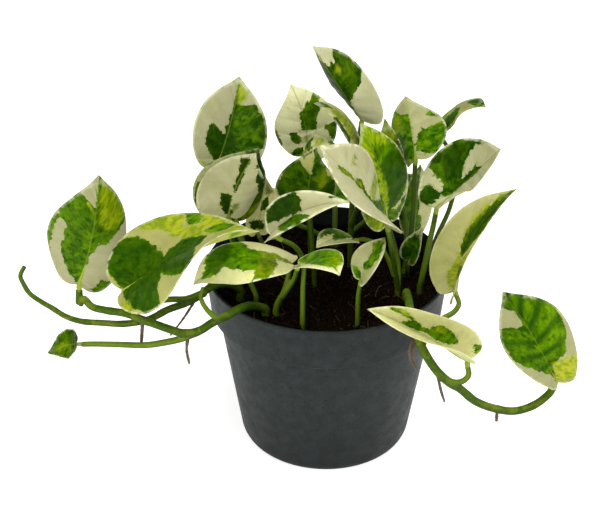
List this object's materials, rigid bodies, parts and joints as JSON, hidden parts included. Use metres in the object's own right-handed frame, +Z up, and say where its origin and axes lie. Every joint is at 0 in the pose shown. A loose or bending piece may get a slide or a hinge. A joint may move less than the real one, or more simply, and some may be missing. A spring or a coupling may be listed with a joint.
{
  "type": "potted pothos plant",
  "caption": "Young trailing pothos with cream and green variegated leaves, growing from dark soil in a round, slightly tapered nursery pot with a deep collar.",
  "frame": {"origin": "centre of the pot's underside, on the surface it stands on", "axes": "+Z up, -Y towards the front of the plant, +X to its right, along the spread of its vines"},
  "size_m": [0.2688, 0.1724, 0.2001],
  "materials": {
    "pot": "matte, faintly mottled",
    "soil": "loose, rough, damp fibrous mix",
    "stem": "smooth, satin",
    "leaf_cream": "waxy, glossy",
    "leaf_green": "waxy, glossy"
  },
  "bodies": {
    "root": {"pot": "pot", "soil": "soil", "vine_left": "stem", "vine_left_long": "stem", "vine_right": "stem", "stem_front_left": "stem", "stem_front_arched": "stem", "stem_front_right_small": "stem", "stem_centre_right": "stem", "stem_right": "stem", "stem_rear_right_twisted": "stem", "stem_rear_right": "stem", "stem_top": "stem", "stem_centre": "stem", "stem_rear_centre": "stem", "stem_rear_left": "stem", "stem_left_cream": "stem", "stem_rear": "stem", "leaf_left_tip": "leaf_green", "leaf_left_broad": "leaf_green", "leaf_left_young": "leaf_green", "leaf_rear_left_tall": "leaf_cream", "leaf_left_cream": "leaf_cream", "leaf_left_shaded": "leaf_green", "leaf_left_pale": "leaf_cream", "leaf_rear_centre_cream": "leaf_cream", "leaf_rear_centre_small": "leaf_cream", "leaf_rear_centre_folded": "leaf_cream", "leaf_centre_green": "leaf_green", "leaf_front_arched": "leaf_cream", "leaf_front_left_flat": "leaf_green", "leaf_front_small": "leaf_green", "leaf_front_right_small": "leaf_cream", "leaf_front_sliver": "leaf_green", "leaf_centre_cream": "leaf_cream", "leaf_centre_striped": "leaf_green", "leaf_top": "leaf_cream", "leaf_rear_right": "leaf_green", "leaf_rear_right_twisted": "leaf_cream", "leaf_right_green": "leaf_green", "leaf_right_long": "leaf_cream", "leaf_right_shaded": "leaf_green", "leaf_front_right_low": "leaf_cream", "leaf_right_tip": "leaf_green", "leaf_rear_sliver": "leaf_green", "leaf_right_inner_small": "leaf_green", "leaf_rear_low_left": "leaf_green", "leaf_rear_low_centre": "leaf_green", "leaf_rear_low_right": "leaf_cream"}
  },
  "joints": []
}
